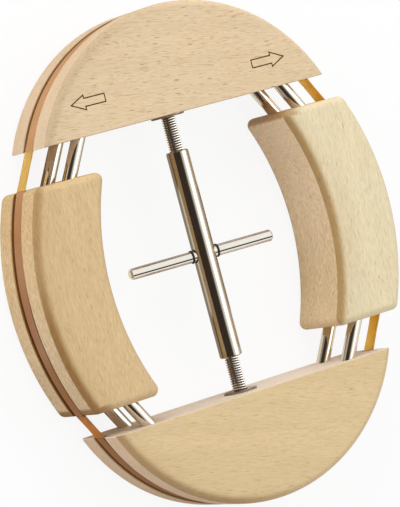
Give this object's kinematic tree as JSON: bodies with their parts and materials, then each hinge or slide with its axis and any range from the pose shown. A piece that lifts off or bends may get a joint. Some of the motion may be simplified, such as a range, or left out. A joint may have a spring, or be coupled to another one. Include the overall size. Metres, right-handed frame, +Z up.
{
  "type": "hat stretcher",
  "caption": "Oval wooden hat stretcher: two end blocks and two side blocks on slanted guide rods, spread by a turning spindle with a cross handle, held by an elastic rim band.",
  "frame": {"origin": "on the table under the middle of the spindle, at the middle of the four blocks' back faces", "axes": "+Y along the spindle towards the front block, +X to the right side block, +Z up out of the marked face"},
  "size_m": [0.1694, 0.206, 0.0335],
  "materials": {
    "beech": "fine sanded, thin clear lacquer",
    "bright_steel": "polished nickel plate",
    "insert_steel": "dull zinc plate",
    "black_rubber": "satin",
    "amber_band": "smooth, slightly translucent"
  },
  "bodies": {
    "front": {"front_block": "beech", "front_insert": "insert_steel", "rod_front_left_upper": "bright_steel", "rod_front_left_lower": "bright_steel", "rod_front_right_upper": "bright_steel", "rod_front_right_lower": "bright_steel", "band_front": "amber_band"},
    "spindle_core": {"front_screw": "bright_steel"},
    "spindle": {"shaft": "bright_steel", "rear_screw": "bright_steel"},
    "handle": {"handle_bar": "bright_steel", "handle_ring_left": "black_rubber", "handle_ring_right": "black_rubber"},
    "rear": {"rear_block": "beech", "rear_insert": "insert_steel", "rod_rear_left_upper": "bright_steel", "rod_rear_left_lower": "bright_steel", "rod_rear_right_upper": "bright_steel", "rod_rear_right_lower": "bright_steel", "band_rear": "amber_band"},
    "left": {"left_block": "beech"},
    "right": {"right_block": "beech"},
    "left_band": {"band_left": "amber_band"},
    "right_band": {"band_right": "amber_band"}
  },
  "joints": [
    {"name": "spindle_draw", "type": "slide", "parent": "front", "child": "spindle_core", "axis": [0, -1, 0], "range_m": [-0.0101, 0.0081]},
    {"name": "handle_turn", "type": "hinge", "parent": "spindle_core", "child": "spindle", "pos_m": [0, 0, 0.01675], "axis": [0, -1, 0], "range_deg": [-3618, 2898]},
    {"name": "bar_slide", "type": "slide", "parent": "spindle", "child": "handle", "axis": [0.9903, 0, 0.1392], "range_m": [-0.0004, 0.0004]},
    {"name": "rear_draw", "type": "slide", "parent": "front", "child": "rear", "axis": [0, -1, 0], "range_m": [-0.02, 0.016]},
    {"name": "left_draw", "type": "slide", "parent": "front", "child": "left", "axis": [-0.5, -0.866, 0], "range_m": [-0.01165, 0.00934], "deforming": ["band_front"]},
    {"name": "right_draw", "type": "slide", "parent": "front", "child": "right", "axis": [0.5, -0.866, 0], "range_m": [-0.01165, 0.00934]},
    {"name": "left_band_draw", "type": "slide", "parent": "rear", "child": "left_band", "axis": [-0.5, 0.866, 0], "range_m": [-0.01165, 0.00934], "deforming": ["band_rear"]},
    {"name": "right_band_draw", "type": "slide", "parent": "rear", "child": "right_band", "axis": [0.5, 0.866, 0], "range_m": [-0.01165, 0.00934]}
  ],
  "couplings": [
    {"joint": "spindle_draw", "follows": "rear_draw", "ratio": 0.5},
    {"joint": "handle_turn", "follows": "rear_draw", "rad_per_m": 3141.6},
    {"joint": "left_draw", "follows": "rear_draw", "ratio": 0.57735},
    {"joint": "right_draw", "follows": "rear_draw", "ratio": 0.57735},
    {"joint": "left_band_draw", "follows": "rear_draw", "ratio": 0.57735},
    {"joint": "right_band_draw", "follows": "rear_draw", "ratio": 0.57735}
  ]
}
